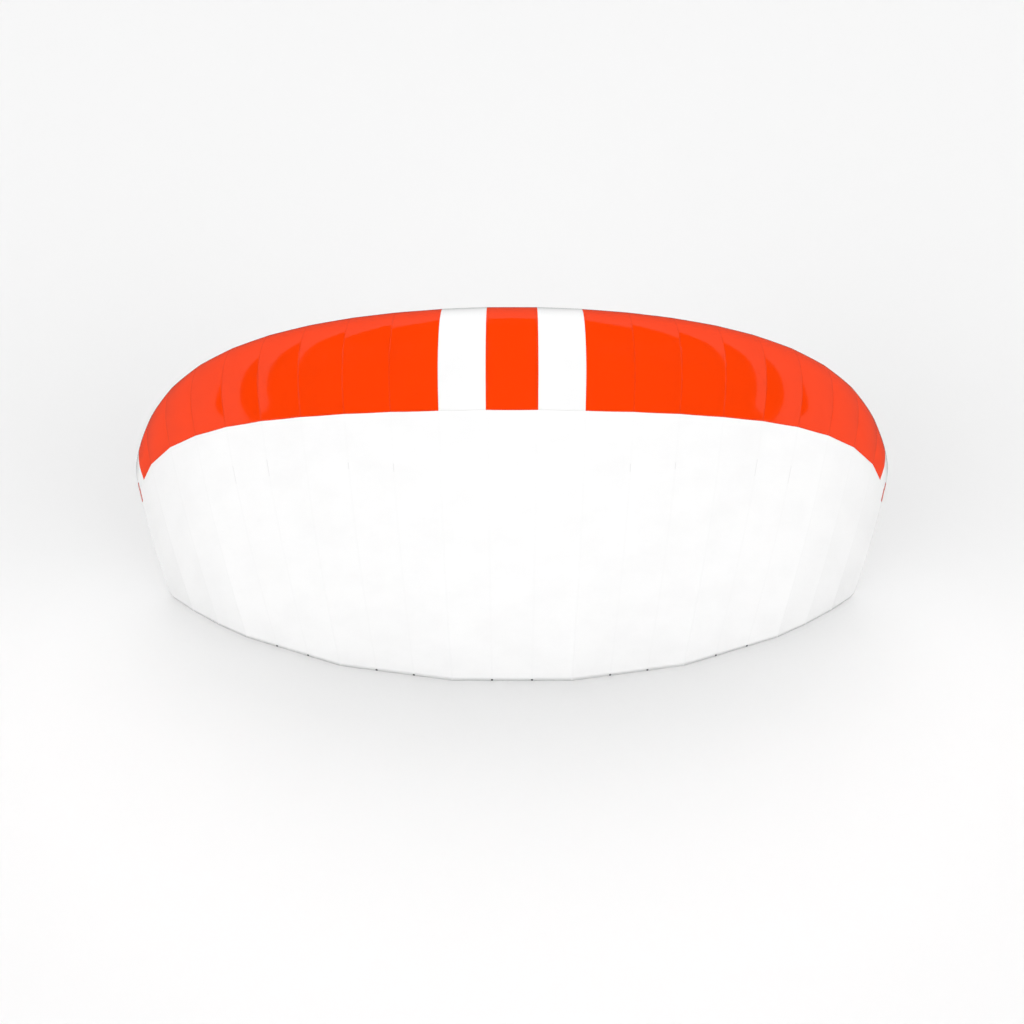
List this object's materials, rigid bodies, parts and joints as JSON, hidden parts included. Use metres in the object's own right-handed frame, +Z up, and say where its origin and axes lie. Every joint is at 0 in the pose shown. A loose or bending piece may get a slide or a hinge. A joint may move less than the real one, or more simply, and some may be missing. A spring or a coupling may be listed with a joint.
{
  "type": "parawing canopy",
  "caption": "Arched single-skin cloth wing with a rounded ribbed front edge, standing on its rear edge.",
  "frame": {"origin": "on the floor, under the middle of the canopy's box", "axes": "+X along the span; +Z up, from the rear edge to the front edge; the outer skin faces -Y and the hollow side +Y"},
  "size_m": [2.8612, 0.6643, 1.5623],
  "materials": {
    "orange_cloth": "smooth coated ripstop, satin",
    "white_cloth": "smooth coated ripstop, satin",
    "rib_cloth": "stiff coated ripstop, matt",
    "loop_tape": "woven tape, matt"
  },
  "bodies": {
    "root": {"front_panel_left_02": "orange_cloth", "front_panel_left_03": "orange_cloth", "front_panel_left_04": "orange_cloth", "front_panel_left_05": "orange_cloth", "front_panel_left_06": "orange_cloth", "front_panel_left_07": "orange_cloth", "front_panel_left_08": "orange_cloth", "front_panel_left_09": "orange_cloth", "front_panel_left_10": "orange_cloth", "front_panel_right_02": "orange_cloth", "front_panel_right_03": "orange_cloth", "front_panel_right_04": "orange_cloth", "front_panel_right_05": "orange_cloth", "front_panel_right_06": "orange_cloth", "front_panel_right_07": "orange_cloth", "front_panel_right_08": "orange_cloth", "front_panel_right_09": "orange_cloth", "front_panel_right_10": "orange_cloth", "front_panel_middle": "orange_cloth", "front_panel_left_01": "white_cloth", "front_panel_right_01": "white_cloth", "rear_panel_middle": "white_cloth", "rear_panel_left_01": "white_cloth", "rear_panel_left_02": "white_cloth", "rear_panel_left_03": "white_cloth", "rear_panel_right_01": "white_cloth", "rear_panel_right_02": "white_cloth", "rear_panel_right_03": "white_cloth", "rib_left_01": "rib_cloth", "rib_left_02": "rib_cloth", "rib_left_03": "rib_cloth", "rib_left_04": "rib_cloth", "rib_left_05": "rib_cloth", "rib_left_06": "rib_cloth", "rib_left_07": "rib_cloth", "rib_left_08": "rib_cloth", "rib_left_09": "rib_cloth", "rib_left_10": "rib_cloth", "rib_left_11": "rib_cloth", "rib_right_01": "rib_cloth", "rib_right_02": "rib_cloth", "rib_right_03": "rib_cloth", "rib_right_04": "rib_cloth", "rib_right_05": "rib_cloth", "rib_right_06": "rib_cloth", "rib_right_07": "rib_cloth", "rib_right_08": "rib_cloth", "rib_right_09": "rib_cloth", "rib_right_10": "rib_cloth", "rib_right_11": "rib_cloth", "tail_loop_left_01": "loop_tape", "tail_loop_left_03": "loop_tape", "tail_loop_left_04": "loop_tape", "tail_loop_left_06": "loop_tape", "tail_loop_left_07": "loop_tape", "tail_loop_right_01": "loop_tape", "tail_loop_right_03": "loop_tape", "tail_loop_right_04": "loop_tape", "tail_loop_right_06": "loop_tape", "tail_loop_right_07": "loop_tape"}
  },
  "joints": []
}
